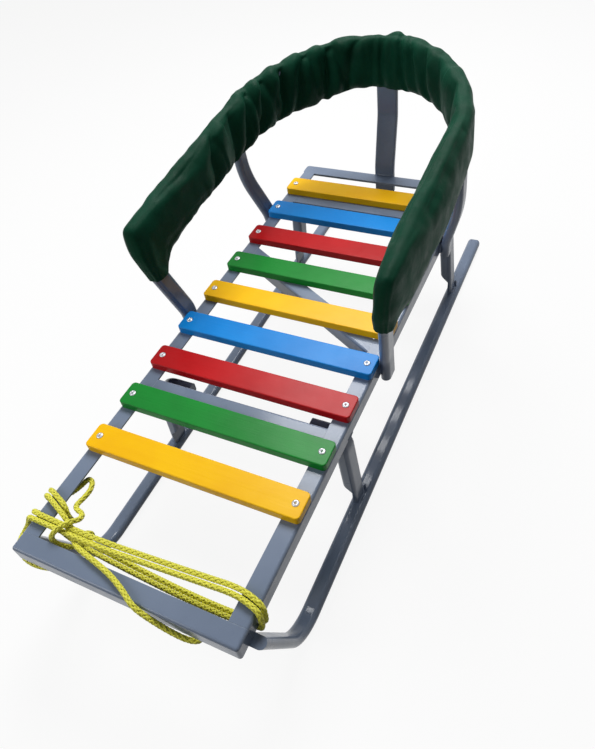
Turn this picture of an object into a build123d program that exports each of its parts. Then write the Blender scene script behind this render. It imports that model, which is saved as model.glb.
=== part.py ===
from build123d import *
import os
from math import atan2, cos, pi, radians, sin, tan

# Child's sled: a welded steel frame on two tube runners, nine painted slats, a hoop with a
# fabric sleeve that makes the arm rests and the back, and a tow rope wound round the nose.
# Millimetres. X across the sled, -Y forward, +Z up. The origin is on the ground, under the
# middle of the sled's length and width. A setback is measured back from the nose.

# --- driving dimensions -----------------------------------------------------------------------
DECK_LENGTH = 900.0         # front cross member to rear cross bar, outside faces
DECK_WIDTH = 325.0          # over the two side rails
DECK_HEIGHT = 192.0         # ground to the top of the frame

ANGLE_LEG = 25.0            # equal-leg angle section of rails and cross members
ANGLE_WALL = 2.5
ANGLE_ROUND = 4.0           # outside radius of the angle's corner
REAR_BAR_THICKNESS = 4.0
REAR_BAR_CORNER = 5.0

SLAT_COUNT = 9
SLAT_COLOURS = ("yellow", "green", "red", "blue")
SLAT_SETBACK = 177.0        # to the middle of the first slat
SLAT_PITCH = 80.0
SLAT_WIDTH = 40.0
SLAT_THICKNESS = 12.0
SLAT_INSET = 0.5            # slat ends inside the rails' outer faces
SLAT_CORNER = 6.0           # radius of a slat's corners in plan
SLAT_EASE = 1.5             # eased top edges

RUNNER_WIDTH = 25.0         # flat-oval runner tube, lying on its wide side
RUNNER_DEPTH = 15.0
RUNNER_SPREAD = 5.5         # middle of the runner outside the rail's outer face
RUNNER_OVERHANG = 80.0      # rear end of the runner behind the deck
RUNNER_BEND_RADIUS = 65.0
RUNNER_RISE_ANGLE = 69.0    # slope of the turned-up nose
RUNNER_NOSE_SETBACK = 24.0  # to the middle of the runner's upper end
RUNNER_TAIL_ROUND = 6.0     # rounded corners of its rear end, in plan

LEG_WIDTH = 20.0            # across the sled
LEG_DEPTH = 30.0            # along the sled
LEG_ROUND = 6.0
LEG_INSET = 12.5            # middle of the leg's top inside the rail's outer face
LEG_FOOT_INSET = 8.0        # middle of the leg's foot inside the middle of the runner
LEG_TOP_BEND = 22.0
LEG_REACH = 50.0            # how far the leg's upper end runs in under the deck
LEG_BEVEL = 12.0            # bevel on the leg's inner side, above the runner
LEG_BEVEL_RISE = 28.0       # lower end of the bevel above the runner's top
LEG_SETBACK = 26.0          # middle of the legs behind the middle of their crosstie

FRONT_CROSSTIE_SETBACK = 289.5
REAR_CROSSTIE_LEAD = 29.5   # middle of the rear crosstie ahead of the middle of the last slat
BRACE_LEFT_SETBACK = 628.5  # to the brace's rear edge at the left rail
BRACE_RIGHT_SETBACK = 475.5  # and at the right rail

HOOP_TUBE_THICKNESS = 15.0  # flat-oval tube of the hoop and its struts
HOOP_TUBE_WIDTH = 30.0
HOOP_SPREAD = 24.5          # middle of the hoop's arm outside the rail's outer face
HOOP_FOOT_SETBACK = 444.0   # to the middle of the hoop's foot
HOOP_FRONT_SETBACK = 394.0  # to the hoop's front corner
HOOP_FRONT_RISE = 175.0     # middle of the tube above the deck, at the front corner
HOOP_REAR_RISE = 225.0      # and at the back
HOOP_OVERHANG = 33.0        # middle of the hoop's back behind the deck
HOOP_BEND_LENGTH = 233.0    # length of the hoop's bent part along the sled
HOOP_BACK_RADIUS = 150.0
HOOP_CORNER_RADIUS = 50.0
HOOP_FOOT_BEND = 60.0
FOOT_DROP = 5.0             # feet of the hoop and struts below the rail

POST_WIDTH = 38.0
POST_THICKNESS = 12.0
POST_ROUND = 4.0
POST_DROP = 9.0             # lower end of the post below the rail
POST_BEND_LOW = 13.0        # heights of its two bends above the deck
POST_BEND_HIGH = 108.0
POST_BEND_RADIUS = 90.0
STRUT_TO_END = 165.0        # middle of the struts' feet to the rear of the deck
STRUT_BULGE = 24.0          # how far the strut swells outward
STRUT_BEND_LOW = 80.0       # heights of its two bends above the deck
STRUT_BEND_HIGH = 150.0
STRUT_BEND_RADII = [90.0, 200.0, 200.0]
STRUT_LEAN = 26.0           # top of the strut ahead of its foot

SLEEVE_PAD = 11.5           # sleeve outside the sides of the hoop's tube
SLEEVE_DEPTH = 86.0
SLEEVE_DROP = 25.0          # middle of the sleeve below the middle of the tube
SLEEVE_SKIRT = 92.0         # how far the sleeve runs down the front uprights
SLEEVE_WRAP = 5.0           # sleeve outside the front and back faces of an upright
SLEEVE_GUSSET = 45.0        # slope of the sleeve's lower edge behind the upright
SLEEVE_ROUND = 12.0
SLEEVE_HEM = 5.0            # radius of the corners at the skirt's lower end

FIT_GAP = 0.3               # between pieces that only rest on each other

ROPE_DIAMETER = 7.5
ROPE_RUN_SHARE = 0.45       # share of the shorter run that each bend may use

# Middle line of the tow rope from end to end, in millimetres.
ROPE_POINTS = [
    # from the knot over the left rail, round it, and over it again
    (-106, -439, 185), (-114, -434, 193), (-124, -429, 198), (-142, -422, 198), (-162, -414, 198),
    (-168.5, -413, 191.5), (-168.5, -411, 167), (-162, -412, 160.5), (-137, -419, 160), (-128, -423, 168),
    (-126, -424, 187), (-130, -418, 196.5), (-144, -412, 198), (-162, -406, 198), (-168.5, -404, 191.5),
    # under the rail to the free bight behind the knot
    (-168.5, -398, 167), (-163, -389, 161), (-154, -374, 164), (-145, -364, 173), (-132, -367, 179),
    (-125, -379, 180), (-126, -393, 180), (-127, -406, 183),
    # round the knot, over the strands between the rails, under them and out between them
    (-119, -414, 189), (-105, -416, 190), (-98, -427, 197), (-102, -437, 207), (-111, -451, 207),
    (-121, -460, 195), (-122, -459, 173), (-112, -449, 152), (-98, -432, 152), (-90, -427, 169),
    (-95, -437, 181), (-96, -449, 185), (-84, -457, 194),
    # diagonal over the cross member, down its front and under it
    (-58, -463, 197), (-21, -471, 197), (8, -482, 198), (30, -494, 197), (52, -495, 181),
    (74, -495, 169), (92, -493.5, 160.5), (104, -489.5, 157), (107, -480.5, 156), (101, -472, 157),
    (87, -469.5, 159), (50, -470.5, 161), (0, -472, 162),
    (-62, -474, 161),
    # round the neck of the left runner and up the outside of the left rail
    (-104, -481, 160), (-134, -489, 159), (-157, -488, 158), (-175, -481, 156), (-186, -470, 157),
    (-186.5, -456, 160), (-180, -448.5, 171), (-169.5, -447, 190.5), (-162, -448, 198),
    # front strand over the rails, round the right rail, back underneath
    (-128, -448.5, 198), (-60, -449, 197), (15, -444.5, 196.5), (90, -440, 197), (134, -437.5, 198),
    (162, -444, 198), (168.5, -447.5, 191.5), (168.8, -451, 169), (162, -449.5, 160),
    (130, -452, 154.5), (60, -453.5, 159), (-15, -451, 163), (-80, -447.5, 164), (-125, -442, 161),
    (-162, -431, 160.5), (-168.5, -430, 167), (-168.5, -437, 191.5), (-162, -440, 198),
    # rear strand, the same way, its end tucked into the knot
    (-128, -440.5, 198), (-60, -441, 197), (15, -436.5, 196.5), (90, -432, 197), (134, -429, 198),
    (162, -435.5, 198), (168.5, -439, 191.5), (168.8, -442.5, 169), (162, -441.5, 160),
    (130, -444.5, 152.5), (60, -446, 157.5), (-15, -443.5, 162), (-78, -440, 164), (-112, -434.5, 166), (-126, -436, 176),
]

# --- worked out from them -----------------------------------------------------------------------
OVERALL_LENGTH = DECK_LENGTH + RUNNER_OVERHANG
NOSE_Y = -OVERALL_LENGTH / 2
TAIL_Y = OVERALL_LENGTH / 2
DECK_REAR_Y = NOSE_Y + DECK_LENGTH
RAIL_X = DECK_WIDTH / 2
RAIL_INNER_X = RAIL_X - ANGLE_LEG
RAIL_UNDERSIDE = DECK_HEIGHT - ANGLE_LEG
RUNNER_X = RAIL_X + RUNNER_SPREAD
FRONT_CROSSTIE_Y = NOSE_Y + FRONT_CROSSTIE_SETBACK
LAST_SLAT_Y = NOSE_Y + SLAT_SETBACK + (SLAT_COUNT - 1) * SLAT_PITCH
REAR_CROSSTIE_Y = LAST_SLAT_Y - REAR_CROSSTIE_LEAD
HOOP_X = RAIL_X + HOOP_SPREAD
FOOT_X = RAIL_X + HOOP_TUBE_THICKNESS / 2
HOOP_FRONT_Y = NOSE_Y + HOOP_FRONT_SETBACK
HOOP_REAR_Y = DECK_REAR_Y + HOOP_OVERHANG
HOOP_BEND_Y = HOOP_REAR_Y - HOOP_BEND_LENGTH
HOOP_BACK_Y = HOOP_REAR_Y - HOOP_BACK_RADIUS
SLEEVE_WIDTH = HOOP_TUBE_THICKNESS + 2 * SLEEVE_PAD
SLEEVE_TOP = SLEEVE_DEPTH / 2 - SLEEVE_DROP
SLEEVE_BOTTOM = SLEEVE_DEPTH / 2 + SLEEVE_DROP
SIDES = {"left": -1, "right": 1}

os.makedirs("parts", exist_ok=True)


def save(name, shape):
    export_step(shape, f"parts/{name}.step")
    print(f"{name}: {shape.volume / 1000:.1f} cm3")


# --- sections and frame -------------------------------------------------------------------------
def angle_section():
    """Equal-leg angle: its outer corner at the origin, one leg along -X and one along -Y."""
    outer = Rectangle(ANGLE_LEG, ANGLE_LEG, align=(Align.MAX, Align.MAX))
    hollow = Pos(-ANGLE_WALL, -ANGLE_WALL) * Rectangle(ANGLE_LEG, ANGLE_LEG, align=(Align.MAX, Align.MAX))
    section = outer - hollow
    corner = section.vertices().sort_by(lambda v: v.X + v.Y)[-1]
    return fillet(corner, ANGLE_ROUND)


def angle_bar(corner, web_side, direction, length):
    """Angle with a flat top. Its outer corner runs from corner along direction; the web hangs on web_side."""
    plane = Plane(origin=corner, x_dir=web_side, z_dir=web_side.cross(Vector(0, 0, 1)))
    return extrude(plane * angle_section(), amount=length, dir=direction)


def side_rail(side):
    front = NOSE_Y + ANGLE_LEG
    length = DECK_REAR_Y - ANGLE_LEG - front
    corner = Vector(side * RAIL_X, front, DECK_HEIGHT)
    return angle_bar(corner, Vector(side, 0, 0), Vector(0, 1, 0), length)


def cross_member():
    """The rails' angle across the nose; its web returns along both ends as far as the rails."""
    block = Box(DECK_WIDTH, ANGLE_LEG, ANGLE_LEG, align=(Align.CENTER, Align.MIN, Align.MAX))
    rear = block.faces().sort_by(Axis.Y)[-1].edges()
    underside = block.faces().sort_by(Axis.Z)[0].edges()
    block = fillet(block.edges() - rear - underside, ANGLE_ROUND)
    hollow_size = (DECK_WIDTH - 2 * ANGLE_WALL, ANGLE_LEG, ANGLE_LEG)
    hollow = Box(*hollow_size, align=(Align.CENTER, Align.MIN, Align.MAX))
    return Pos(0, NOSE_Y, DECK_HEIGHT) * (block - Pos(0, ANGLE_WALL, -ANGLE_WALL) * hollow)


def rear_bar():
    bar = Box(DECK_WIDTH, ANGLE_LEG, REAR_BAR_THICKNESS, align=(Align.CENTER, Align.MAX, Align.MAX))
    bar = Pos(0, DECK_REAR_Y, DECK_HEIGHT) * bar
    return fillet(bar.edges().filter_by(Axis.Z), REAR_BAR_CORNER)


def crosstie(middle_y):
    corner = Vector(-RAIL_INNER_X, middle_y + ANGLE_LEG / 2, DECK_HEIGHT)
    return angle_bar(corner, Vector(0, 1, 0), Vector(1, 0, 0), 2 * RAIL_INNER_X)


def diagonal_brace():
    """Angle across the frame, flush with the rails and cut to them at both ends."""
    left = Vector(-RAIL_INNER_X, NOSE_Y + BRACE_LEFT_SETBACK, DECK_HEIGHT)
    right = Vector(RAIL_INNER_X, NOSE_Y + BRACE_RIGHT_SETBACK, DECK_HEIGHT)
    along = (right - left).normalized()
    web_side = along.cross(Vector(0, 0, 1))
    corner = left + web_side * ANGLE_LEG - along * ANGLE_LEG
    bar = angle_bar(corner, web_side, along, (right - left).length + 2 * ANGLE_LEG)
    bay = Box(2 * RAIL_INNER_X, 2 * OVERALL_LENGTH, 4 * DECK_HEIGHT)
    return bar & bay


# --- runners and legs ---------------------------------------------------------------------------
def sweep_oval(path, wide_side, depth, width):
    """Flat-oval tube along path, the long side of its section along wide_side."""
    start = Plane(origin=path @ 0, x_dir=wide_side, z_dir=path % 0)
    return sweep(start * SlotOverall(depth, width), path=path)


def runner(side):
    x = side * RUNNER_X
    mid = RUNNER_DEPTH / 2
    rise = radians(RUNNER_RISE_ANGLE)
    top_z = RAIL_UNDERSIDE + RUNNER_DEPTH
    top_y = NOSE_Y + RUNNER_NOSE_SETBACK - RUNNER_DEPTH / tan(rise)
    bend_y = top_y + (top_z - mid) / tan(rise)
    points = [(x, TAIL_Y, mid), (x, bend_y, mid), (x, top_y, top_z)]
    path = FilletPolyline(*points, radius=RUNNER_BEND_RADIUS)
    tube = sweep_oval(path, Vector(1, 0, 0), RUNNER_WIDTH, RUNNER_DEPTH)
    above = Box(2 * RUNNER_WIDTH, 8 * RUNNER_DEPTH, 2 * RUNNER_DEPTH, align=(Align.CENTER, Align.CENTER, Align.MIN))
    plan = Rectangle(RUNNER_WIDTH, 2 * OVERALL_LENGTH, align=(Align.CENTER, Align.MAX))
    plan = Pos(x, TAIL_Y) * fillet(plan.vertices().group_by(Axis.Y)[-1], RUNNER_TAIL_ROUND)
    return (tube - Pos(x, top_y, RAIL_UNDERSIDE) * above) & extrude(plan, amount=2 * DECK_HEIGHT)


def leg(side, y, runner_tube):
    """Upright from the inner half of the runner to the rail, its upper end bent in under the deck."""
    mid_top = RAIL_UNDERSIDE - LEG_WIDTH / 2
    top_x = RAIL_X - LEG_INSET
    foot_x = RUNNER_X - LEG_FOOT_INSET
    foot = (side * foot_x, y, RUNNER_DEPTH / 2)
    knee = (side * top_x, y, mid_top)
    inner = (side * (top_x - LEG_REACH), y, mid_top)
    path = FilletPolyline(foot, knee, inner, radius=LEG_TOP_BEND)
    start = Plane(origin=path @ 0, x_dir=(0, 1, 0), z_dir=path % 0)
    tube = sweep(start * RectangleRounded(LEG_DEPTH, LEG_WIDTH, LEG_ROUND), path=path)
    inner_x = foot_x - LEG_WIDTH / 2
    bevel_low = RUNNER_DEPTH + LEG_BEVEL_RISE
    wedge = Polyline(
        (side * (inner_x - LEG_BEVEL), y, bevel_low + 2 * LEG_BEVEL),
        (side * (inner_x - LEG_BEVEL), y, -RUNNER_DEPTH),
        (side * (inner_x + LEG_BEVEL), y, -RUNNER_DEPTH),
        (side * (inner_x + LEG_BEVEL), y, bevel_low),
        close=True,
    )
    bevel = extrude(make_face(wedge), amount=LEG_DEPTH, dir=(0, 1, 0), both=True)
    return tube - bevel - runner_tube


# --- seat ---------------------------------------------------------------------------------------
def slat(index):
    y = NOSE_Y + SLAT_SETBACK + index * SLAT_PITCH
    outline = RectangleRounded(DECK_WIDTH - 2 * SLAT_INSET, SLAT_WIDTH, SLAT_CORNER)
    board = extrude(Pos(0, y, DECK_HEIGHT) * outline, amount=SLAT_THICKNESS)
    return fillet(board.faces().sort_by(Axis.Z)[-1].edges(), SLAT_EASE)


# --- hoop, struts and post ----------------------------------------------------------------------
def hoop_point(x, y):
    """Point on the hoop's plane, which slopes up to the back."""
    share = (y - HOOP_FRONT_Y) / (HOOP_REAR_Y - HOOP_FRONT_Y)
    rise = HOOP_FRONT_RISE + share * (HOOP_REAR_RISE - HOOP_FRONT_RISE)
    return Vector(x, y, DECK_HEIGHT + rise)


def hoop_bend_path(side):
    """Half of the hoop's bend: a wide side arc, then the tighter back arc, to the middle."""
    rise = HOOP_BACK_Y - HOOP_BEND_Y
    side_radius = (HOOP_X**2 + rise**2 - HOOP_BACK_RADIUS**2) / (2 * (HOOP_X - HOOP_BACK_RADIUS))
    centre_x = HOOP_X - side_radius
    turn = atan2(rise, -centre_x)

    def on_side(angle):
        return hoop_point(side * (centre_x + side_radius * cos(angle)), HOOP_BEND_Y + side_radius * sin(angle))

    def on_back(angle):
        return hoop_point(side * HOOP_BACK_RADIUS * cos(angle), HOOP_BACK_Y + HOOP_BACK_RADIUS * sin(angle))

    wide = ThreePointArc(on_side(0), on_side(turn / 2), on_side(turn))
    tight = ThreePointArc(on_side(turn), on_back((turn + pi / 2) / 2), on_back(pi / 2))
    return Wire([wide.edge(), tight.edge()])


def hoop_front_points(side):
    foot_y = NOSE_Y + HOOP_FOOT_SETBACK
    return [
        Vector(side * FOOT_X, foot_y, RAIL_UNDERSIDE - FOOT_DROP),
        Vector(side * FOOT_X, foot_y - 2, DECK_HEIGHT + 8),
        hoop_point(side * HOOP_X, HOOP_FRONT_Y),
        hoop_point(side * HOOP_X, HOOP_BEND_Y),
    ]


def hoop_front(side, grow=0.0):
    """Upright, front corner and arm, as far as the bend."""
    path = FilletPolyline(*hoop_front_points(side), radius=[HOOP_FOOT_BEND, HOOP_CORNER_RADIUS])
    return sweep_oval(path, Vector(0, 1, 0), HOOP_TUBE_WIDTH + 2 * grow, HOOP_TUBE_THICKNESS + 2 * grow)


def hoop():
    whole_bend = Wire([*hoop_bend_path(1).edges(), *hoop_bend_path(-1).edges()])
    bend = sweep_oval(whole_bend, Vector(0, 0, 1), HOOP_TUBE_WIDTH, HOOP_TUBE_THICKNESS)
    return hoop_front(1) + bend + hoop_front(-1)


def strut_tube(side, grow=0.0):
    y = DECK_REAR_Y - STRUT_TO_END
    out_x = FOOT_X + STRUT_BULGE
    points = [
        Vector(side * FOOT_X, y + 5, RAIL_UNDERSIDE - FOOT_DROP),
        Vector(side * (FOOT_X + 1), y + 3, DECK_HEIGHT - FOOT_DROP),
        Vector(side * out_x, y - 18, DECK_HEIGHT + STRUT_BEND_LOW),
        Vector(side * out_x, y - 24, DECK_HEIGHT + STRUT_BEND_HIGH),
        hoop_point(side * HOOP_X, y - STRUT_LEAN),
    ]
    path = FilletPolyline(*points, radius=STRUT_BEND_RADII)
    return sweep_oval(path, Vector(0, 1, 0), HOOP_TUBE_WIDTH + 2 * grow, HOOP_TUBE_THICKNESS + 2 * grow)


def post_bar(grow=0.0):
    y = DECK_REAR_Y + POST_THICKNESS / 2
    top_z = DECK_HEIGHT + HOOP_REAR_RISE
    points = [
        (0, y, RAIL_UNDERSIDE - POST_DROP),
        (0, y, DECK_HEIGHT + POST_BEND_LOW),
        (0, HOOP_REAR_Y - 3, DECK_HEIGHT + POST_BEND_HIGH),
        (0, HOOP_REAR_Y, top_z - HOOP_TUBE_THICKNESS / 3),
    ]
    path = FilletPolyline(*points, radius=POST_BEND_RADIUS)
    start = Plane(origin=path @ 0, x_dir=(1, 0, 0), z_dir=path % 0)
    section = RectangleRounded(POST_WIDTH + 2 * grow, POST_THICKNESS + 2 * grow, POST_ROUND)
    return sweep(start * section, path=path)


def below_hoop(bar, hoop_tube):
    """The bar cut to the hoop, without what is left of it above the tube."""
    return (bar - hoop_tube).solids().sort_by(SortBy.VOLUME)[-1]


# --- sleeve -------------------------------------------------------------------------------------
def sleeve_arm(side):
    """One arm of the fabric sleeve: a band along the hoop's arm, turned down over its upright."""
    knee, corner, end = hoop_front_points(side)[1:]
    lean = (knee.Y - corner.Y) / (corner.Z - knee.Z)
    front_y = corner.Y - HOOP_TUBE_WIDTH / 2 - SLEEVE_WRAP
    skirt_y = front_y + lean * SLEEVE_SKIRT
    skirt_width = HOOP_TUBE_WIDTH + 2 * SLEEVE_WRAP
    gusset = hoop_point(end.X, skirt_y + skirt_width + SLEEVE_GUSSET)
    along = (corner - end).normalized()
    across = along.cross(Vector(1, 0, 0))
    seam = end + along * FIT_GAP
    points = [
        seam + across * SLEEVE_TOP,
        Vector(end.X, front_y - lean * SLEEVE_TOP, corner.Z + SLEEVE_TOP),
        Vector(end.X, skirt_y, corner.Z - SLEEVE_SKIRT),
        Vector(end.X, skirt_y + skirt_width, corner.Z - SLEEVE_SKIRT),
        Vector(end.X, gusset.Y, gusset.Z - SLEEVE_BOTTOM),
        seam - across * SLEEVE_BOTTOM,
    ]
    corner_round = HOOP_CORNER_RADIUS + SLEEVE_TOP
    edge = FilletPolyline(*points, radius=[corner_round, SLEEVE_HEM, SLEEVE_HEM, SLEEVE_GUSSET])
    outline = edge + Line(points[-1], points[0])
    band = extrude(make_face(outline), amount=SLEEVE_WIDTH / 2, dir=(1, 0, 0), both=True)
    rims = band.edges().filter_by(lambda e: abs(e.tangent_at(0.5).X) < 0.5 and e.center().Y < end.Y - 3)
    return fillet(rims, SLEEVE_ROUND) - hoop_front(side, FIT_GAP) - strut_tube(side, FIT_GAP)


def sleeve_back(side):
    """The rest of the sleeve on one side, round the back of the hoop to its middle."""
    path = hoop_bend_path(side)
    start = Plane(origin=path @ 0, x_dir=(0, 0, 1), z_dir=path % 0)
    tube = SlotOverall(HOOP_TUBE_WIDTH + 2 * FIT_GAP, HOOP_TUBE_THICKNESS + 2 * FIT_GAP)
    section = Pos(-SLEEVE_DROP, 0) * RectangleRounded(SLEEVE_DEPTH, SLEEVE_WIDTH, SLEEVE_ROUND) - tube
    return sweep(start * section, path=path) - post_bar(FIT_GAP) - strut_tube(side, FIT_GAP)


# --- tow rope -----------------------------------------------------------------------------------
def bend_radius(before, point, after):
    """The largest radius that the two runs at a point leave room for."""
    run_in = point - before
    run_out = after - point
    half_turn = radians(run_in.get_angle(run_out)) / 2
    return ROPE_RUN_SHARE * min(run_in.length, run_out.length) / tan(half_turn)


def tow_rope():
    points = [Vector(*point) for point in ROPE_POINTS]
    radii = [bend_radius(*points[i - 1:i + 2]) for i in range(1, len(points) - 1)]
    path = FilletPolyline(*points, radius=radii)
    section = Plane(origin=path @ 0, z_dir=path % 0) * Circle(ROPE_DIAMETER / 2)
    rope = sweep(section, path=path)
    expected = pi * (ROPE_DIAMETER / 2) ** 2 * path.length
    print("rope radii:", " ".join(f"{radius:.1f}" for radius in radii))
    print(f"rope length {path.length:.0f} mm, volume is {rope.volume / expected:.4f} of section times length")
    return rope


# --- the model ----------------------------------------------------------------------------------
save("front_cross_member", cross_member())
save("rear_cross_bar", rear_bar())
save("front_crosstie", crosstie(FRONT_CROSSTIE_Y))
save("rear_crosstie", crosstie(REAR_CROSSTIE_Y))
save("diagonal_brace", diagonal_brace())
for name, side in SIDES.items():
    runner_tube = runner(side)
    save(f"{name}_side_rail", side_rail(side))
    save(f"{name}_runner", runner_tube)
    save(f"{name}_front_leg", leg(side, FRONT_CROSSTIE_Y + LEG_SETBACK, runner_tube))
    save(f"{name}_rear_leg", leg(side, REAR_CROSSTIE_Y + LEG_SETBACK, runner_tube))
for first, colour in enumerate(SLAT_COLOURS):
    boards = [slat(index) for index in range(first, SLAT_COUNT, len(SLAT_COLOURS))]
    save(f"{colour}_slats", Compound(boards))
hoop_tube = hoop()
save("hoop", hoop_tube)
save("back_post", below_hoop(post_bar(), hoop_tube))
for name, side in SIDES.items():
    save(f"{name}_rear_strut", below_hoop(strut_tube(side), hoop_tube))
    save(f"{name}_sleeve_arm", sleeve_arm(side))
    save(f"{name}_sleeve_back", sleeve_back(side))
save("tow_rope", tow_rope())
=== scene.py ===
import math
import random
from math import cos, pi, radians, sin

import bpy
from mathutils import Matrix, Vector, noise


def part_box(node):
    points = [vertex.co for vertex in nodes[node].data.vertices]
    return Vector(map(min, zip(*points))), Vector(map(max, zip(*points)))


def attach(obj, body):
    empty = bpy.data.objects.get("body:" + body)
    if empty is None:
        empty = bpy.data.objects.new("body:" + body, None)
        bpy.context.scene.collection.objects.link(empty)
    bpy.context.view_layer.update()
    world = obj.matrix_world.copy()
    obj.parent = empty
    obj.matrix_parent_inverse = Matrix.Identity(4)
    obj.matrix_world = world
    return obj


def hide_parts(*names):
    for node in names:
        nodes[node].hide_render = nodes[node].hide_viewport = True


# Looks of the child's sled: enamelled steel frame, gloss-painted slats, gathered fabric sleeve,
# braided tow rope, screws and weld beads. Metres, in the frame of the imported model: X across the
# sled, -Y forward, +Z up, the ground at Z = 0.

# --- camera and light ---
CAMERA_PLACE = Vector((0.39717, -0.63643, 0.87140))
CAMERA_TARGET = Vector((-0.02621, 0.01484, 0.02340))
CAMERA_ROLL = radians(-10.87)
CAMERA_LENS = 30.72
CAMERA_NEAR = 0.05
CAMERA_FAR = 50.0

WORLD_STRENGTH = 0.13       # of the light that the world gives; it is seen as plain white
FLOOR_REACH = 6.0
FLOOR_GLOW = 0.9            # share of plain white in what is seen of the floor
FLOOR_SEEN = 0.85           # the rest of what is seen of it
FLOOR_BOUNCE = 0.16         # shade of the floor in the light that it throws back up
LAMP_TARGET = (0, 0, 0.2)
KEY_PLACE = (-0.25, 1.0, 1.80)
KEY_SIZE = 1.1
KEY_POWER = 39.0
FILL_PLACE = (-1.1, -1.4, 1.3)
FILL_SIZE = 1.2
FILL_POWER = 14.0

# --- colours, as red, green and blue ---
ENAMEL = (0.180, 0.228, 0.320)
ENAMEL_DULL = (0.142, 0.184, 0.265)
ENAMEL_WORN = (0.38, 0.44, 0.54)

# The paint of each colour of slat, its darker shade, and its worn edges.
SLAT_COLOURS = {
    "yellow": ((0.97, 0.55, 0.002), (0.90, 0.46, 0.002), (0.80, 0.62, 0.30)),
    "green": ((0.004, 0.245, 0.026), (0.003, 0.185, 0.020), (0.18, 0.34, 0.18)),
    "red": ((0.50, 0.003, 0.006), (0.40, 0.002, 0.004), (0.55, 0.22, 0.18)),
    "blue": ((0.005, 0.245, 0.70), (0.004, 0.200, 0.60), (0.25, 0.42, 0.66)),
}

CLOTH_DARK = (0.0008, 0.0300, 0.0145)
CLOTH_GREEN = (0.0026, 0.0480, 0.0250)
CLOTH_DUST = (0.008, 0.062, 0.038)
CLOTH_SHEEN = (0.35, 0.6, 0.48)
ROPE_SHADED = (0.72, 0.69, 0.040)
ROPE_YELLOW = (0.92, 0.89, 0.110)
# Painted shade of the rope, between the strands and where one dips under.
ROPE_PAINTED_SHADE = (0.42, 0.38, 0.016)
ZINC = (0.50, 0.51, 0.53)
ZINC_DARK = (0.32, 0.33, 0.36)

EDGE_SAMPLES = 6
EDGE_STARTS = 0.97          # cosine between the rounded and the flat normal where wear starts
EDGE_FULL = 0.75            # and where it is full

# --- tow rope ---
ROPE_DIAMETER = 0.0075
ROPE_STEP = 0.0015          # between the rings of a strand
ROPE_STRANDS = 8            # half of them wind each way
ROPE_STRAND_SIDES = 5
ROPE_PITCH = 0.032          # along the rope for one turn of a strand
ROPE_STRAND_WIDTH = 0.0036
ROPE_STRAND_THICKNESS = 0.0017
ROPE_WEAVE = 0.00042        # how far a strand goes in and out
ROPE_SHADE_WEAVE = 0.3      # part of a point's painted shade, darker where the strand dips under, that the weave gives
ROPE_SHADE_SIDE = 0.35      # and that its side of the strand gives, darker on the inner side
ROPE_CORE_RADIUS = 0.0025   # plain middle that shows between the strands, in the painted shade
ROPE_CORE_SIDES = 8
ROPE_END_LEAST = 0.35       # the rope's ends taper to this share of its size
ROPE_END_RINGS = 4
ROPE_STRAND_APART = 0.013   # between two strands on the filaments' map
ROPE_CORE_SIDE_WIDTH = 0.002
ROPE_LINE_POINTS = 24       # read from each stretch of the spline

# The route of part.py's rope, in millimetres as it is written there.
ROPE_POINTS_MM = [
    # from the knot over the left rail, round it, and over it again
    (-106, -439, 185), (-114, -434, 193), (-124, -429, 198), (-142, -422, 198), (-162, -414, 198),
    (-168.5, -413, 191.5), (-168.5, -411, 167), (-162, -412, 160.5), (-137, -419, 160), (-128, -423, 168),
    (-126, -424, 187), (-130, -418, 196.5), (-144, -412, 198), (-162, -406, 198), (-168.5, -404, 191.5),
    # under the rail to the free bight behind the knot
    (-168.5, -398, 167), (-163, -389, 161), (-154, -374, 164), (-145, -364, 173), (-132, -367, 179),
    (-125, -379, 180), (-126, -393, 180), (-127, -406, 183),
    # round the knot, over the strands between the rails, under them and out between them
    (-119, -414, 189), (-105, -416, 190), (-98, -427, 197), (-102, -437, 207), (-111, -451, 207),
    (-121, -460, 195), (-122, -459, 173), (-112, -449, 152), (-98, -432, 152), (-90, -427, 169),
    (-95, -437, 181), (-96, -449, 185), (-84, -457, 194),
    # diagonal over the cross member, down its front and under it
    (-58, -463, 197), (-21, -471, 197), (8, -482, 198), (30, -494, 197), (52, -495, 181),
    (74, -495, 169), (92, -493.5, 160.5), (104, -489.5, 157), (107, -480.5, 156), (101, -472, 157),
    (87, -469.5, 159), (50, -470.5, 161), (0, -472, 162), (-62, -474, 161),
    # round the neck of the left runner and up the outside of the left rail
    (-104, -481, 160), (-134, -489, 159), (-157, -488, 158), (-175, -481, 156), (-186, -470, 157),
    (-186.5, -456, 160), (-180, -448.5, 171), (-169.5, -447, 190.5), (-162, -448, 198),
    # front strand over the rails, round the right rail, back underneath
    (-128, -448.5, 198), (-60, -449, 197), (15, -444.5, 196.5), (90, -440, 197), (134, -437.5, 198),
    (162, -444, 198), (168.5, -447.5, 191.5), (168.8, -451, 169), (162, -449.5, 160),
    (130, -452, 154.5), (60, -453.5, 159), (-15, -451, 163), (-80, -447.5, 164), (-125, -442, 161),
    (-162, -431, 160.5), (-168.5, -430, 167), (-168.5, -437, 191.5), (-162, -440, 198),
    # rear strand, the same way, its end tucked into the knot
    (-128, -440.5, 198), (-60, -441, 197), (15, -436.5, 196.5), (90, -432, 197), (134, -429, 198),
    (162, -435.5, 198), (168.5, -439, 191.5), (168.8, -442.5, 169), (162, -441.5, 160),
    (130, -444.5, 152.5), (60, -446, 157.5), (-15, -443.5, 162), (-78, -440, 164), (-112, -434.5, 166),
    (-126, -436, 176),
]

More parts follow.
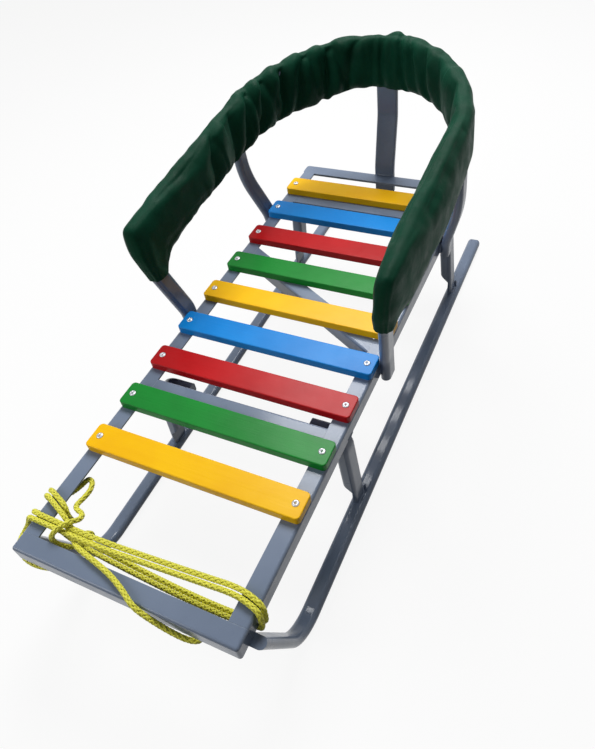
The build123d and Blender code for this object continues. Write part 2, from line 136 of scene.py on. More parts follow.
# --- fabric sleeve ---
SLEEVE_STEP = 0.0038        # between the loops of the mesh
SLEEVE_SIDES = 60
SLEEVE_SIDE_WIDTH = 0.0026  # between two points of a loop on the weave's map
SLEEVE_SQUARENESS = 3.0     # 2 is an ellipse
SLEEVE_HALF_WIDTH = 0.0170
SLEEVE_ABOVE = 0.0205       # sleeve above and below the middle of the hoop's tube
SLEEVE_BELOW = 0.068
SLEEVE_INSET = 0.0005       # the smooth shape starts this much smaller, for the pressure to fill
SLEEVE_KNOB = 0.0045        # bulge where the cloth is gathered near the middle of the back
SLEEVE_KNOB_AT = 0.0175
SLEEVE_KNOB_WIDTH = 0.012
SLEEVE_KNOB_ANGLE = -0.3    # where it stands out most round the loop
SLEEVE_KNOB_REACH = 2.4
SLEEVE_LINE = 0.65          # share of the top edge in the line that the sleeve's length is measured on
SLEEVE_WAVE = 0.0048        # waviness of the lower edge
SLEEVE_WAVES = 21           # in a metre, and small ones of half their height
SLEEVE_SMALL_WAVES = 62
SLEEVE_SAG = 0.10           # share by which the lower edge is wider on the outer side
SLEEVE_SAG_INSIDE = -0.6    # share of that sag on the inner side, which is narrower
SLEEVE_HANG = 0.021         # how far the right arm's outer edge droops below its inner one
SLEEVE_HANG_OUT = 0.004
SLEEVE_BAG = 0.007          # the lower edge bags out left of the middle, and steps up again at its end
SKIRT_HALF_WIDTH = 0.0115   # half the sleeve's width at the skirts' lower ends
SKIRT_FROM = 0.62           # distances from the middle of the back between which it narrows
SKIRT_TO = 0.71

# Spans along the hoop, as distances from the middle of the back, minus to the sled's left: where
# each one starts, is full, fades and ends.
HANG_SPAN = (0.30, 0.40, 0.60, 0.68)
BAG_SPAN = (-0.21, -0.14, -0.112, -0.102)
GATHER_SPANS = [
    ((-0.33, -0.28, 0.035, 0.06), 1.0),
    ((0.02, 0.06, 0.20, 0.28), 0.5),
]
GATHER_MOST = 0.16          # extra cloth where it is gathered most, as a share of the hoop's length
GATHER_LEAST = 0.03
GATHER_SHEAR = 0.009        # uneven gathering round the hoop, which makes the folds lean
GATHER_SHEAR_AT = -0.12     # middle and reach of that uneven stretch
GATHER_SHEAR_REACH = 0.38
GATHER_SHEAR_ROUND = 0.9    # how fast it changes round the hoop, and along it
GATHER_SHEAR_ALONG = 17

CLOTH_FRAMES = 22
CLOTH_QUALITY = 5
CLOTH_PRESSURE = 1.0
CLOTH_BENDING = 3.0
CLOTH_REACH = 0.011         # furthest that the cloth may move from its smooth shape
CLOTH_SINK = 0.0006         # furthest that it may sink where it lies on the hoop's tube
CLOTH_ON_TUBE = 0.27        # share of a loop, to each side of its top, that lies on the tube

# The cloth's end turned in round the tube: size of each ring, and its depth inside the opening.
HEM_SHAPES = ((0.965, -0.0012), (0.90, 0.0), (0.86, 0.004), (0.84, 0.016))
HEM_POINTS = len(HEM_SHAPES) * SLEEVE_SIDES
HEM_LEVEL = 3               # loops from the sleeve's end to the one that shows which way is in

HOOP_X = 0.187              # middle of the hoop's arm
HOOP_BEND_Y = 0.210         # where the hoop's bend starts
HOOP_BEND_Z = 0.3954
HOOP_SLOPE = 50 / 539
HOOP_BACK_Y = 0.293         # centre of the back's arc
HOOP_BACK_RADIUS = 0.150
ARM_STATIONS = 400          # points that the smooth lines along the hoop are drawn with
BEND_STATIONS = 300

# From the skirt's lower end to the bend, in millimetres: X, then Y and Z of the sleeve's outer
# edge (front and top), then Y and Z of its inner edge (behind and below).
SLEEVE_ARM_EDGES = [
    (179, (-92, 291), (-58, 288)),
    (180, (-94, 303), (-53, 291)),
    (182, (-98, 322), (-44, 295)),
    (184, (-101, 344), (-34, 298)),
    (186, (-100, 366), (-25, 301)),
    (187, (-97, 382), (-14, 304)),
    (187, (-81, 387), (-1, 308)),
    (187, (-50, 391.5), (18, 311)),
    (187, (0, 396), (45, 314)),
    (187, (60, 401.5), (88, 317)),
    (187, (135, 409.5), (148, 322)),
    (187, (210, 415.9), (210, 327.4)),
]

# Strong folds: distance from the middle of the back (minus is to the sled's left), lean, depth,
# width, the angle round the sleeve that they centre on (0 top, minus inner side) and their reach.
SLEEVE_FOLDS = [
    (-0.004, 0.000, 0.0052, 0.0036, -1.0, 2.6),
    (0.036, -0.006, 0.0056, 0.0040, -1.0, 2.6),
    (-0.021, 0.004, 0.0024, 0.0044, -1.2, 1.7),
    (-0.062, 0.014, 0.0068, 0.0068, -1.2, 2.1),
    (-0.086, -0.016, 0.0058, 0.0062, -1.5, 2.0),
    (-0.111, 0.006, 0.0110, 0.0074, -1.3, 2.6),
    (-0.139, -0.008, 0.0060, 0.0060, -1.5, 1.9),
    (-0.166, 0.016, 0.0076, 0.0074, -1.3, 2.2),
    (-0.205, 0.008, 0.0112, 0.0082, -1.2, 2.5),
    (-0.234, -0.012, 0.0066, 0.0066, -1.5, 2.0),
    (-0.259, 0.016, 0.0082, 0.0072, -1.3, 2.2),
    (-0.281, -0.004, 0.0060, 0.0062, -1.6, 1.9),
    (-0.305, 0.020, 0.0094, 0.0084, -1.2, 2.3),
    (-0.354, 0.006, 0.0082, 0.0135, -1.4, 2.0),
    (-0.425, 0.024, 0.0074, 0.0100, -1.3, 1.9),
    (0.060, -0.012, 0.0048, 0.0070, -1.1, 2.0),
    (0.096, -0.008, 0.0058, 0.0082, -1.2, 2.1),
    (0.140, -0.014, 0.0052, 0.0096, -1.1, 2.0),
    (0.219, -0.016, 0.0046, 0.0110, -1.0, 2.0),
]

# Small folds between them, with each value drawn from its range, in the same order.
SMALL_FOLDS = 16
SMALL_FOLD_SEED = 11
SMALL_FOLD_RANGES = [
    (-0.36, 0.36), (-0.012, 0.012), (0.0006, 0.0017), (0.0022, 0.0045), (-2.6, 0.6), (0.5, 1.3),
]

FOLD_ALONG = 0.05           # furthest that a fold is felt along the hoop
FOLD_WOBBLE = 0.003
FOLD_WOBBLES = 45           # in a metre
FOLD_WOBBLE_APART = 90      # so that each fold has its own
FOLD_SHOULDER = 0.55        # height of the cloth pushed up beside a fold, as a share of its depth
FOLD_SHOULDER_AT = 2.6      # how far away that is, and how wide, in widths of the fold
FOLD_SHOULDER_WIDTH = 1.8
FOLD_ALL_ROUND = 0.55       # share of a fold's depth that it has on every side
FOLD_INSIDE = 0.45          # and the rest, which it has on the inner side only
FOLD_LEAST_TOP = -0.0010    # how far a fold may go in where the tube is right under the cloth
FOLD_LEAST_BELOW = 0.03     # and how much further where there is none
FOLD_TUBE_ANGLE = 2.1       # from the top of the loop to where the tube no longer limits it


# Height of the cloth's random lumps and folds, and how many there are in a metre and a radian.
LUMPS, LUMPS_PER_METRE = 0.0022, 22
SMALL_LUMPS, SMALL_LUMPS_PER_METRE = 0.0011, 48
DRAWN_FOLDS, DRAWN_PER_METRE, DRAWN_PER_RADIAN = 0.0014, 46, 1.6
LONG_FOLDS, LONG_PER_METRE, LONG_PER_RADIAN = 0.0016, 9, 3.2
DRAWN_REACH = 0.50          # drawn folds end this far from the middle of the back, long ones start

# --- screws and welds ---
SLAT_COUNT = 9
SLAT_WIDTH = 0.040
SCREW_X = 0.1494
SCREW_SIDES = 48
SCREW_PROFILE = [
    (0.0047, -0.0006),      # radius and height above the slat, from the rim to the recess
    (0.0049, 0.0002),
    (0.0047, 0.0008),
    (0.0040, 0.0013),
    (0.0031, 0.0016),
]
SCREW_RECESS_FLOOR = -0.0002
SCREW_RECESS_TAPER = 0.86   # size of the cross at its floor
SCREW_CROSS = 0.0026
SCREW_CROSS_CORNER = 1.02   # how much further than its arms the cross's corners may reach
SCREW_CROSS_HALF_WIDTH = 0.0007
HOOP_FOOT_Y = -0.046
STRUT_FOOT_Y = 0.248
FOOT_HALF_WIDTH = 0.0105    # of the uprights' and struts' feet on the rail
RUNNER_TOP = 0.015
WELD_RADIUS = 0.0019
WELD_SIDES = 10
WELD_STEP = 0.0008
WELD_END_LEAST = 0.25       # a bead's ends taper to this share of its size
WELD_END_RINGS = 5
WELD_RIPPLE = 0.14
WELD_RIPPLE_LENGTH = 0.0026
WELD_LUMPS = 0.25
WELD_LUMPS_PER_METRE = 170
WELD_LEG_UP = 0.012         # how far the foot's bead turns up the leg's corner

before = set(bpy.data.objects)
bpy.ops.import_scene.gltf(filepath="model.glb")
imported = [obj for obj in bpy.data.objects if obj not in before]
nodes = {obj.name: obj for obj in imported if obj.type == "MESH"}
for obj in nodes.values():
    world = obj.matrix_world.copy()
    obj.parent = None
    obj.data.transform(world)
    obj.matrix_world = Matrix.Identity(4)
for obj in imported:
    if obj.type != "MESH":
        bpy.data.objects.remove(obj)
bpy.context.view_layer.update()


# --- helpers for meshes ---
def add_object(name, data):
    obj = bpy.data.objects.new(name, data)
    bpy.context.scene.collection.objects.link(obj)
    return obj


def mesh_object(name, vertices, faces, material):
    """Smooth-shaded mesh with one material."""
    mesh = bpy.data.meshes.new(name)
    mesh.from_pydata(vertices, [], faces)
    mesh.materials.append(material)
    mesh.polygons.foreach_set("use_smooth", [True] * len(mesh.polygons))
    mesh.update()
    return add_object(name, mesh)


def add_uv(mesh, uv_of_vertex):
    """UV map in metres, with one place for each vertex."""
    layer = mesh.uv_layers.new(name="uv")
    for loop in mesh.loops:
        layer.data[loop.index].uv = uv_of_vertex[loop.vertex_index]


def tube_faces(first, ring_count, sides):
    """Faces of a closed tube of rings, whose vertices start at the index first."""
    faces = []
    last_ring = first + (ring_count - 1) * sides
    for ring in range(first, last_ring, sides):
        for j in range(sides):
            k = (j + 1) % sides
            faces.append((ring + j, ring + k, ring + sides + k, ring + sides + j))
    faces.append(tuple(first + j for j in reversed(range(sides))))
    faces.append(tuple(last_ring + j for j in range(sides)))
    return faces


def end_taper(i, count, least, rings):
    """Size of ring i of count: least at both ends, and full after so many rings."""
    return min(1.0, least + min(i, count - 1 - i) / rings)


# --- helpers for materials ---
class Shader:
    """Builds one node material around a Principled shader."""

    def __init__(self, name, **settings):
        self.material = bpy.data.materials.new(name)
        self.material.use_nodes = True
        self.nodes = self.material.node_tree.nodes
        self.links = self.material.node_tree.links
        self.surface = self.nodes["Principled BSDF"]
        for key, value in settings.items():
            self.surface.inputs[key.replace("_", " ")].default_value = value

    def node(self, kind, **inputs):
        made = self.nodes.new(kind)
        for key, value in inputs.items():
            self.put(made, key.replace("_", " "), value)
        return made

    def put(self, node, socket, value):
        """Sets a socket to a value, or links it to another node's output."""
        if isinstance(value, bpy.types.NodeSocket):
            self.links.new(value, node.inputs[socket])
        else:
            node.inputs[socket].default_value = value

    def object_place(self, scale=(1, 1, 1)):
        """Place on the object, in metres times scale."""
        place = self.node("ShaderNodeTexCoord")
        mapping = self.node("ShaderNodeMapping", Vector=place.outputs["Object"], Scale=scale)
        return mapping.outputs["Vector"]

    def uv_place(self, scale=(1, 1, 1)):
        place = self.node("ShaderNodeUVMap")
        mapping = self.node("ShaderNodeMapping", Vector=place.outputs["UV"], Scale=scale)
        return mapping.outputs["Vector"]

    def noise(self, place, scale, detail=3.0, roughness=0.5):
        made = self.node("ShaderNodeTexNoise", Vector=place,
                         Scale=scale, Detail=detail, Roughness=roughness)
        return made.outputs["Fac"]

    def ramp(self, value, low, high, to_low=0.0, to_high=1.0):
        """Maps low..high to to_low..to_high, clamped."""
        made = self.node("ShaderNodeMapRange", Value=value,
                         From_Min=low, From_Max=high, To_Min=to_low, To_Max=to_high)
        return made.outputs["Result"]

    def mix(self, share, first, second):
        """Blend of two colours, each a socket or red, green and blue."""
        made = self.nodes.new("ShaderNodeMix")
        made.data_type = "RGBA"
        self.put(made, 0, share)
        for socket, colour in ((6, first), (7, second)):
            self.put(made, socket, (*colour, 1.0) if isinstance(colour, tuple) else colour)
        return made.outputs[2]

    def maths(self, operation, first, second):
        made = self.nodes.new("ShaderNodeMath")
        made.operation = operation
        self.put(made, 0, first)
        self.put(made, 1, second)
        return made.outputs[0]

    def bump(self, height, depth, strength, under=None):
        made = self.node("ShaderNodeBump", Height=height, Distance=depth, Strength=strength)
        if under is not None:
            self.put(made, "Normal", under)
        return made.outputs["Normal"]

    def edges(self, radius):
        """Rounded normal at sharp edges, and a mask that is 1 where it turns most from the flat one."""
        rounded = self.nodes.new("ShaderNodeBevel")
        rounded.samples = EDGE_SAMPLES
        rounded.inputs["Radius"].default_value = radius
        flat = self.nodes.new("ShaderNodeNewGeometry")
        dot = self.nodes.new("ShaderNodeVectorMath")
        dot.operation = "DOT_PRODUCT"
        self.put(dot, 0, rounded.outputs["Normal"])
        self.put(dot, 1, flat.outputs["Normal"])
        mask = self.ramp(dot.outputs["Value"], EDGE_STARTS, EDGE_FULL)
        return rounded.outputs["Normal"], mask

    def colour(self, value):
        self.put(self.surface, "Base Color", value)

    def roughness(self, value):
        self.put(self.surface, "Roughness", value)

    def normal(self, value):
        self.put(self.surface, "Normal", value)


# --- materials ---
def frame_enamel():
    """Sprayed enamel on steel: fine orange peel, uneven tint, edges rubbed lighter."""
    made = Shader("frame_enamel", IOR=1.5, Specular_IOR_Level=0.12, Coat_Weight=0.36, Coat_Roughness=0.13)
    place = made.object_place()
    rounded, edge = made.edges(0.0012)
    patches = made.ramp(made.noise(place, 9.0), 0.35, 0.7)
    tint = made.mix(patches, ENAMEL, ENAMEL_DULL)
    scuffed = made.ramp(made.noise(place, 160.0, 5.0, 0.6), 0.5, 0.68)
    rubbed = made.maths("MULTIPLY", edge, made.ramp(scuffed, 0.0, 1.0, 0.35, 1.0))
    made.colour(made.mix(rubbed, tint, ENAMEL_WORN))
    smear = made.noise(place, 38.0, 4.0, 0.6)
    made.roughness(made.ramp(smear, 0.3, 0.75, 0.24, 0.42))
    peel = made.bump(made.noise(place, 420.0, 2.0), 0.00012, 0.5, rounded)
    made.normal(made.bump(made.noise(place, 28.0, 2.0), 0.0006, 0.35, peel))
    return made.material


def slat_paint(name, colour, shade, worn):
    """Gloss paint brushed on wood: the grain shows through as fine ridges along the slat."""
    made = Shader(name, IOR=1.5, Specular_IOR_Level=0.08, Coat_Weight=0.16, Coat_Roughness=0.24)
    grain_place = made.object_place((7.0, 150.0, 150.0))
    place = made.object_place()
    rounded, edge = made.edges(0.0016)
    grain = made.noise(grain_place, 1.0, 6.0, 0.62)
    cloud = made.noise(place, 14.0, 4.0)
    body = made.mix(made.ramp(cloud, 0.35, 0.75), colour, shade)
    streaked = made.mix(made.ramp(grain, 0.58, 0.78, 0.0, 0.45), body, shade)
    specks = made.ramp(made.noise(place, 230.0, 4.0, 0.7), 0.63, 0.72)
    rubbed = made.maths("MULTIPLY", edge, made.ramp(specks, 0.0, 1.0, 0.12, 0.8))
    made.colour(made.mix(rubbed, streaked, worn))
    made.roughness(made.ramp(made.noise(place, 55.0, 4.0, 0.65), 0.3, 0.75, 0.36, 0.52))
    ridges = made.bump(grain, 0.0009, 0.45, rounded)
    made.normal(made.bump(made.noise(place, 260.0, 3.0), 0.0002, 0.6, ridges))
    return made.material


def sleeve_cloth():
    """Coated woven nylon: a fine weave, a soft sheen, and paler patches where it is rubbed."""
    made = Shader("sleeve_cloth", IOR=1.45, Sheen_Weight=0.03, Sheen_Roughness=0.4,
                  Sheen_Tint=(*CLOTH_SHEEN, 1.0), Specular_IOR_Level=0.07)
    place = made.object_place()
    tint = made.mix(made.ramp(made.noise(place, 16.0, 4.0), 0.35, 0.7), CLOTH_DARK, CLOTH_GREEN)
    rubbed = made.ramp(made.noise(place, 90.0, 5.0, 0.65), 0.5, 0.8, 0.0, 0.3)
    made.colour(made.mix(rubbed, tint, CLOTH_DUST))
    made.roughness(made.ramp(made.noise(place, 45.0, 4.0), 0.3, 0.7, 0.42, 0.62))
    threads = []
    for direction in ("X", "Y"):
        wave = made.node("ShaderNodeTexWave", Vector=made.uv_place(), Scale=420.0, Distortion=0.6)
        wave.bands_direction = direction
        threads.append(wave.outputs["Fac"])
    weave = made.bump(made.maths("MAXIMUM", *threads), 0.00022, 0.35)
    made.normal(made.bump(made.noise(place, 120.0, 4.0, 0.6), 0.0009, 0.5, weave))
    return made.material


def rope_fibre():
    """Polypropylene strands: filaments along each strand, and painted olive shade where a strand dips under.
    """
    made = Shader("rope_fibre", IOR=1.49, Sheen_Weight=0.1, Specular_IOR_Level=0.4)
    filaments = made.noise(made.uv_place((60.0, 5200.0, 1.0)), 1.0, 3.0, 0.6)
    depth = made.node("ShaderNodeAttribute")
    depth.attribute_name = "depth"
    lit = made.mix(made.ramp(filaments, 0.35, 0.7), ROPE_SHADED, ROPE_YELLOW)
    # Painted shade: olive where a strand dips under, and on the core between the strands.
    painted_shade = made.ramp(depth.outputs["Fac"], 0.4, 1.0, 0.0, 0.8)
    made.colour(made.mix(painted_shade, lit, ROPE_PAINTED_SHADE))
    made.roughness(made.ramp(filaments, 0.3, 0.7, 0.38, 0.6))
    made.normal(made.bump(filaments, 0.0003, 0.6))
    return made.material


def screw_steel():
    """Zinc-plated screw: pale, finely scratched, darker in patches."""
    made = Shader("screw_steel", Metallic=1.0)
    place = made.object_place()
    made.colour(made.mix(made.ramp(made.noise(place, 300.0, 4.0), 0.35, 0.7), ZINC, ZINC_DARK))
    made.roughness(made.ramp(made.noise(place, 900.0, 3.0), 0.3, 0.7, 0.22, 0.45))
    made.normal(made.bump(made.noise(place, 1500.0, 2.0), 0.00005, 0.5))
    return made.material


def plainly_seen(tree):
    """1 for what is looked at straight, in a reflection or through glass, and 0 for what only lights."""
    path = tree.nodes.new("ShaderNodeLightPath")
    seen = path.outputs["Is Camera Ray"]
    for ray in ("Is Glossy Ray", "Is Transmission Ray"):
        either = tree.nodes.new("ShaderNodeMath")
        either.operation = "MAXIMUM"
        tree.links.new(seen, either.inputs[0])
        tree.links.new(path.outputs[ray], either.inputs[1])
        seen = either.outputs[0]
    return seen


def floor_white():
    """Pale floor: seen nearly white, with the sled's soft shadow, and darker in the light it gives."""
    material = bpy.data.materials.new("floor_white")
    material.use_nodes = True
    tree = material.node_tree
    tree.nodes.clear()
    seen = plainly_seen(tree)
    shade = tree.nodes.new("ShaderNodeMix")
    shade.data_type = "RGBA"
    shade.inputs[6].default_value = (FLOOR_BOUNCE, FLOOR_BOUNCE, FLOOR_BOUNCE, 1.0)
    shade.inputs[7].default_value = (FLOOR_SEEN, FLOOR_SEEN, FLOOR_SEEN, 1.0)
    tree.links.new(seen, shade.inputs[0])
    matt = tree.nodes.new("ShaderNodeBsdfDiffuse")
    tree.links.new(shade.outputs[2], matt.inputs["Color"])
    glow = tree.nodes.new("ShaderNodeEmission")
    share = tree.nodes.new("ShaderNodeMath")
    share.operation = "MULTIPLY"
    share.inputs[1].default_value = FLOOR_GLOW
    tree.links.new(seen, share.inputs[0])
    blend = tree.nodes.new("ShaderNodeMixShader")
    tree.links.new(share.outputs[0], blend.inputs["Fac"])
    tree.links.new(matt.outputs[0], blend.inputs[1])
    tree.links.new(glow.outputs[0], blend.inputs[2])
    output = tree.nodes.new("ShaderNodeOutputMaterial")
    tree.links.new(blend.outputs[0], output.inputs["Surface"])
    return material


# --- camera, light and floor ---
def make_camera():
    """Camera at the photograph's viewing angle."""
    camera = bpy.data.cameras.new("camera")
    camera.lens = CAMERA_LENS
    camera.clip_start = CAMERA_NEAR
    camera.clip_end = CAMERA_FAR
    holder = add_object("camera", camera)
    turn = (CAMERA_TARGET - CAMERA_PLACE).to_track_quat("-Z", "Y").to_matrix().to_4x4()
    holder.matrix_world = Matrix.Translation(CAMERA_PLACE) @ turn @ Matrix.Rotation(CAMERA_ROLL, 4, "Z")
    bpy.context.scene.camera = holder


def make_world():
    """Even white all round: plain white where it is seen, softer where it lights."""
    world = bpy.data.worlds.new("studio")
    bpy.context.scene.world = world
    world.use_nodes = True
    tree = world.node_tree
    background = tree.nodes["Background"]
    background.inputs["Color"].default_value = (1.0, 1.0, 1.0, 1.0)
    strength = tree.nodes.new("ShaderNodeMapRange")
    strength.inputs["To Min"].default_value = WORLD_STRENGTH
    strength.inputs["To Max"].default_value = 1.0
    tree.links.new(plainly_seen(tree), strength.inputs["Value"])
    tree.links.new(strength.outputs["Result"], background.inputs["Strength"])


def make_lamp(name, place, size, power):
    """Round soft lamp that points at the sled."""
    lamp = bpy.data.lights.new(name, "AREA")
    lamp.shape = "DISK"
    lamp.size = size
    lamp.energy = power
    holder = add_object(name, lamp)
    holder.location = place
    holder.rotation_euler = (Vector(LAMP_TARGET) - Vector(place)).to_track_quat("-Z", "Y").to_euler()


def make_floor():
    reach = FLOOR_REACH
    corners = [(-reach, -reach, 0), (reach, -reach, 0), (reach, reach, 0), (-reach, reach, 0)]
    floor = mesh_object("floor", corners, [(0, 1, 2, 3)], floor_white())


# --- tow rope ---
def rope_centreline():
    """Points along the rope's smooth line, read from its NURBS spline."""
    curve = bpy.data.curves.new("rope_route", "CURVE")
    curve.dimensions = "3D"
    spline = curve.splines.new("NURBS")
    spline.points.add(len(ROPE_POINTS_MM) - 1)
    for point, place in zip(spline.points, ROPE_POINTS_MM):
        point.co = (*(Vector(place) / 1000), 1.0)
    spline.order_u = 3
    spline.use_endpoint_u = True
    spline.resolution_u = ROPE_LINE_POINTS
    holder = add_object("rope_route", curve)
    line = bpy.data.meshes.new_from_object(holder)
    points = [vertex.co.copy() for vertex in line.vertices]
    bpy.data.objects.remove(holder)
    bpy.data.meshes.remove(line)
    bpy.data.curves.remove(curve)
    return points


def lengths_along(points):
    """Distance of each point from the line's start."""
    lengths = [0.0]
    for before, after in zip(points, points[1:]):
        lengths.append(lengths[-1] + (after - before).length)
    return lengths


def even_steps(lengths, step):
    """Places at an even step along a line: the leg each is on, its share of that leg, its distance."""
    count = round(lengths[-1] / step)
    leg = 0
    for i in range(count + 1):
        at = lengths[-1] * i / count
        while leg < len(lengths) - 2 and lengths[leg + 1] < at:
            leg += 1
        share = (at - lengths[leg]) / (lengths[leg + 1] - lengths[leg])
        yield leg, share, at


def resample(points, step):
    """Points at an even step along a line, its two ends kept."""
    places = even_steps(lengths_along(points), step)
    return [points[leg].lerp(points[leg + 1], share) for leg, share, _ in places]


def carried_frames(points):
    """Each point with its side and up directions, carried along the line without twist."""
    frames = []
    side = None
    for i, point in enumerate(points):
        along = (points[min(i + 1, len(points) - 1)] - points[max(i - 1, 0)]).normalized()
        if side is None:
            side = along.orthogonal()
        side = (side - along * side.dot(along)).normalized()
        frames.append((point, side, along.cross(side)))
    return frames


def strand_loops(frames, strand):
    """Points, UVs and painted shade of one strand. Even strands wind one way, and odd ones the other."""
    hand = 1 if strand % 2 == 0 else -1
    start = 2 * pi * (strand // 2) / (ROPE_STRANDS / 2) + (0 if hand > 0 else pi / ROPE_STRANDS)
    middle = ROPE_DIAMETER / 2 - ROPE_STRAND_THICKNESS / 2 - ROPE_WEAVE
    points, uvs, painted_shades = [], [], []
    for i, (place, side, up) in enumerate(frames):
        at = i * ROPE_STEP
        turn = start + hand * 2 * pi * at / ROPE_PITCH
        wave = hand * sin(ROPE_STRANDS / 2 * 2 * pi * at / ROPE_PITCH)
        taper = end_taper(i, len(frames), ROPE_END_LEAST, ROPE_END_RINGS)
        out = side * cos(turn) + up * sin(turn)
        round_way = up * cos(turn) - side * sin(turn)
        centre = place + out * (middle + ROPE_WEAVE * wave) * taper
        for j in range(ROPE_STRAND_SIDES):
            angle = 2 * pi * j / ROPE_STRAND_SIDES
            across = round_way * (ROPE_STRAND_WIDTH / 2 * sin(angle))
            rise = out * (ROPE_STRAND_THICKNESS / 2 * cos(angle))
            points.append(centre + (across + rise) * taper)
            uvs.append((at, j * ROPE_STRAND_WIDTH / ROPE_STRAND_SIDES + strand * ROPE_STRAND_APART))
            # Painted shade: darker where the strand dips under and on its inner side.
            painted_shades.append(0.5 - ROPE_SHADE_WEAVE * wave - ROPE_SHADE_SIDE * cos(angle))
    return points, uvs, painted_shades


def core_loops(frames):
    """The same for the plain tube inside the braid, in the full painted shade that shows between the
    strands.
    """
    points, uvs, painted_shades = [], [], []
    for i, (place, side, up) in enumerate(frames):
        taper = end_taper(i, len(frames), ROPE_END_LEAST, ROPE_END_RINGS)
        for j in range(ROPE_CORE_SIDES):
            angle = 2 * pi * j / ROPE_CORE_SIDES
            points.append(place + (side * cos(angle) + up * sin(angle)) * ROPE_CORE_RADIUS * taper)
            uvs.append((i * ROPE_STEP, j * ROPE_CORE_SIDE_WIDTH))
            painted_shades.append(1.0)
    return points, uvs, painted_shades


def make_rope(material):
    """Braided rope: strands that wind both ways and pass over and under each other, round a core."""
    line = resample(rope_centreline(), ROPE_STEP)
    frames = carried_frames(line)
    tubes = [(ROPE_STRAND_SIDES, strand_loops(frames, strand)) for strand in range(ROPE_STRANDS)]
    tubes.append((ROPE_CORE_SIDES, core_loops(frames)))
    vertices, faces, uvs, painted_shades = [], [], [], []
    for sides, (tube_points, tube_uvs, tube_shades) in tubes:
        faces.extend(tube_faces(len(vertices), len(frames), sides))
        vertices.extend(tube_points)
        uvs.extend(tube_uvs)
        painted_shades.extend(tube_shades)
    rope = mesh_object("tow_rope_braid", vertices, faces, material)
    add_uv(rope.data, uvs)
    # The depth attribute carries the painted shade between the strands.
    depth = rope.data.attributes.new("depth", "FLOAT", "POINT")
    depth.data.foreach_set("value", painted_shades)
    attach(rope, "root")
    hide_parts("tow_rope")


# --- fabric sleeve ---
def through(points, at):
    """Place on a smooth line through points, where at counts them from 0."""
    leg = min(int(at), len(points) - 2)
    t = at - leg
    near = [Vector(points[min(max(leg + k, 0), len(points) - 1)]) for k in (-1, 0, 1, 2)]
    rise = (near[2] - near[0]) / 2
    fall = (near[3] - near[1]) / 2
    start = near[1] * (2 * t**3 - 3 * t**2 + 1) + rise * (t**3 - 2 * t**2 + t)
    return start + near[2] * (3 * t**2 - 2 * t**3) + fall * (t**3 - t**2)


def arm_stations(side):
    """Outer edge, inner edge and outward direction from the skirt's lower end to the bend."""
    outer_edge = [(x, *outer) for x, outer, _ in SLEEVE_ARM_EDGES]
    inner_edge = [(x, *inner) for x, _, inner in SLEEVE_ARM_EDGES]
    found = []
    for i in range(ARM_STATIONS + 1):
        at = (len(SLEEVE_ARM_EDGES) - 1) * i / ARM_STATIONS
        x, outer_y, outer_z = through(outer_edge, at) / 1000
        _, inner_y, inner_z = through(inner_edge, at) / 1000
        top = Vector((side * x, outer_y, outer_z))
        bottom = Vector((side * x, inner_y, inner_z))
        found.append((top, bottom, Vector((side, 0, 0))))
    return found


def bend_stations(side):
    """The same round the bend, from the arm to the middle of the back."""
    rise = HOOP_BACK_Y - HOOP_BEND_Y
    side_radius = (HOOP_X**2 + rise**2 - HOOP_BACK_RADIUS**2) / (2 * (HOOP_X - HOOP_BACK_RADIUS))
    centre_x = HOOP_X - side_radius
    turn = math.atan2(rise, -centre_x)
    found = []
    for i in range(1, BEND_STATIONS + 1):
        angle = pi / 2 * i / BEND_STATIONS
        out = Vector((side * cos(angle), sin(angle), 0))
        if angle < turn:
            place = Vector((side * centre_x, HOOP_BEND_Y, 0)) + out * side_radius
        else:
            place = Vector((0, HOOP_BACK_Y, 0)) + out * HOOP_BACK_RADIUS
        place.z = HOOP_BEND_Z + (place.y - HOOP_BEND_Y) * HOOP_SLOPE
        top = place + Vector((0, 0, SLEEVE_ABOVE))
        bottom = place - Vector((0, 0, SLEEVE_BELOW))
        found.append((top, bottom, out))
    return found


def sleeve_stations():
    """Stations at an even step from the left skirt to the right, and their distance from the middle."""
    left = arm_stations(-1) + bend_stations(-1)
    right = arm_stations(1) + bend_stations(1)
    rough = left + right[-2::-1]
    lengths = lengths_along([top * SLEEVE_LINE + bottom * (1 - SLEEVE_LINE) for top, bottom, _ in rough])
    middle = lengths[len(left) - 1]
    found = []
    for leg, share, at in even_steps(lengths, SLEEVE_STEP):
        top, bottom, out = [a.lerp(b, share) for a, b in zip(rough[leg], rough[leg + 1])]
        found.append((top, bottom, out.normalized(), at - middle))
    return found


def signed_power(value, power):
    """Power of a number's size, with its sign kept."""
    return math.copysign(abs(value) ** power, value)


def smooth_step(value, low, high):
    """0 below low, 1 above high, smooth between."""
    share = min(max((value - low) / (high - low), 0.0), 1.0)
    return share * share * (3 - 2 * share)


def within(at, span):
    """1 in the full part of a span along the hoop, 0 outside it, smooth between."""
    start, full, fade, end = span
    return smooth_step(at, start, full) * (1 - smooth_step(at, fade, end))


def window(value, reach):
    """1 at zero, falling smoothly to 0 at reach."""
    share = min(abs(value) / reach, 1.0)
    return (1 - share * share) ** 2


def sleeve_folds():
    """The strong folds, and small ones between them."""
    dice = random.Random(SMALL_FOLD_SEED)
    folds = list(SLEEVE_FOLDS)
    for _ in range(SMALL_FOLDS):
        folds.append(tuple(dice.uniform(low, high) for low, high in SMALL_FOLD_RANGES))
    return folds


